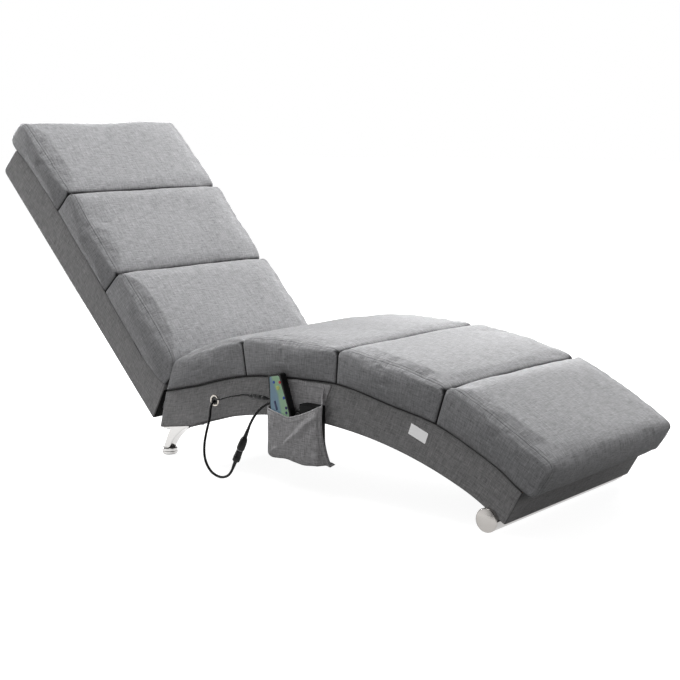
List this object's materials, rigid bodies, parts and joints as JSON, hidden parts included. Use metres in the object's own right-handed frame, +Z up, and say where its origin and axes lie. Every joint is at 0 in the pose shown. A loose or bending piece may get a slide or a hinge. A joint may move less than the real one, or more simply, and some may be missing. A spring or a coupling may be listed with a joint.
{
  "type": "massage recliner",
  "caption": "Upholstered massage lounger: a straight back set at a fixed angle on a long arched seat, with chrome feet, a side pocket, a corded handset and massage motors in the cushions.",
  "frame": {"origin": "middle of the lounger's footprint on the floor, measured without the leads", "axes": "+X towards the foot end, -Y towards the side with the pocket and handset (the sitter's right), +Z up"},
  "size_m": [1.8255, 0.6256, 0.8844],
  "materials": {
    "cushion_cloth": "heathered linen weave, matt",
    "base_cloth": "heathered linen weave, matt",
    "pocket_cloth": "heathered linen weave, matt",
    "black_lining": "plain black cloth",
    "softwood": "bare planed softwood",
    "plywood": "bare plywood",
    "chrome": "polished chrome plate",
    "brushed_cap": "satin",
    "black_rubber": "matt",
    "zinc_steel": "zinc plated",
    "plate_metal": "dark satin anodised",
    "black_plastic": "fine moulded grain",
    "handset_plastic": "smooth",
    "face_film": "printed film, satin",
    "board_green": "solder mask",
    "lead_rubber": "satin",
    "key_blue": "satin",
    "key_red": "satin",
    "key_lime": "satin",
    "key_dark": "satin",
    "motor_plastic": "moulded"
  },
  "bodies": {
    "lounger": {"head_cushion": "cushion_cloth", "upper_back_cushion": "cushion_cloth", "lumbar_cushion": "cushion_cloth", "seat_cushion": "cushion_cloth", "thigh_cushion": "cushion_cloth", "knee_cushion": "cushion_cloth", "calf_cushion": "cushion_cloth", "seat_cover": "base_cloth", "back_cover": "base_cloth", "pocket": "pocket_cloth", "seat_dust_cover": "black_lining", "end_linings": "black_lining", "seat_board_left": "softwood", "seat_board_right": "softwood", "seat_rails": "softwood", "back_board_left": "softwood", "back_board_right": "softwood", "back_rails": "softwood", "seat_deck": "plywood", "back_deck": "plywood", "rear_leg_left": "chrome", "rear_leg_right": "chrome", "front_tube": "chrome", "eyelet": "chrome", "tube_caps": "brushed_cap", "foot_pads": "black_rubber", "join_plates": "zinc_steel", "join_bolts": "zinc_steel", "wood_screws": "zinc_steel", "side_plate": "plate_metal", "control_box": "black_plastic", "power_adapter": "black_plastic", "handset_lead_lower": "lead_rubber", "handset_lead_upper": "lead_rubber", "supply_lead_lower": "lead_rubber", "supply_lead_upper": "lead_rubber", "lead_socket": "black_plastic", "lead_plug": "black_plastic", "supply_socket": "black_plastic", "supply_plug": "black_plastic", "motor_housings": "motor_plastic", "motor_cans": "zinc_steel"},
    "handset": {"handset_front": "handset_plastic", "handset_back": "handset_plastic", "handset_face": "face_film", "handset_board": "board_green", "handset_relief": "lead_rubber"},
    "timer_key": {"timer_key": "key_blue"},
    "power_key": {"power_key": "key_red"},
    "program_key": {"program_key": "key_lime"},
    "heat_key": {"heat_key": "key_dark"},
    "zone_up_key": {"zone_up_key": "key_dark"},
    "zone_down_key": {"zone_down_key": "key_dark"},
    "speed_key": {"speed_key": "key_blue"},
    "neck_rotor": {"neck_rotor": "zinc_steel"},
    "upper_back_rotor": {"upper_back_rotor": "zinc_steel"},
    "lumbar_rotor": {"lumbar_rotor": "zinc_steel"},
    "thigh_rotor": {"thigh_rotor": "zinc_steel"},
    "calf_rotor": {"calf_rotor": "zinc_steel"}
  },
  "joints": [
    {"name": "handset_lift", "type": "slide", "parent": "lounger", "child": "handset", "axis": [-0.2011, 0, 0.9796], "range_m": [0, 0.1]},
    {"name": "timer_key_press", "type": "slide", "parent": "handset", "child": "timer_key", "axis": [0, 1, 0], "range_m": [0, 0.0006], "stiffness_N_per_m": 800},
    {"name": "power_key_press", "type": "slide", "parent": "handset", "child": "power_key", "axis": [0, 1, 0], "range_m": [0, 0.0006], "stiffness_N_per_m": 800},
    {"name": "program_key_press", "type": "slide", "parent": "handset", "child": "program_key", "axis": [0, 1, 0], "range_m": [0, 0.0006], "stiffness_N_per_m": 800},
    {"name": "heat_key_press", "type": "slide", "parent": "handset", "child": "heat_key", "axis": [0, 1, 0], "range_m": [0, 0.0006], "stiffness_N_per_m": 800},
    {"name": "zone_up_key_press", "type": "slide", "parent": "handset", "child": "zone_up_key", "axis": [0, 1, 0], "range_m": [0, 0.0006], "stiffness_N_per_m": 800},
    {"name": "zone_down_key_press", "type": "slide", "parent": "handset", "child": "zone_down_key", "axis": [0, 1, 0], "range_m": [0, 0.0006], "stiffness_N_per_m": 800},
    {"name": "speed_key_press", "type": "slide", "parent": "handset", "child": "speed_key", "axis": [0, 1, 0], "range_m": [0, 0.0006], "stiffness_N_per_m": 800},
    {"name": "neck_rotor_spin", "type": "hinge", "parent": "lounger", "child": "neck_rotor", "pos_m": [-0.78107, 0.0175, 0.72618], "axis": [0.7206, 0, 0.6934], "continuous": true},
    {"name": "upper_back_rotor_spin", "type": "hinge", "parent": "lounger", "child": "upper_back_rotor", "pos_m": [-0.5831, 0.0175, 0.52046], "axis": [0.7206, 0, 0.6934], "continuous": true},
    {"name": "lumbar_rotor_spin", "type": "hinge", "parent": "lounger", "child": "lumbar_rotor", "pos_m": [-0.37179, 0.0175, 0.30087], "axis": [0.7206, 0, 0.6934], "continuous": true},
    {"name": "thigh_rotor_spin", "type": "hinge", "parent": "lounger", "child": "thigh_rotor", "pos_m": [0.1926, 0.0175, 0.26359], "axis": [-0.0479, 0, 0.9989], "continuous": true},
    {"name": "calf_rotor_spin", "type": "hinge", "parent": "lounger", "child": "calf_rotor", "pos_m": [0.74991, 0.0175, 0.15963], "axis": [0.4048, 0, 0.9144], "continuous": true}
  ]
}
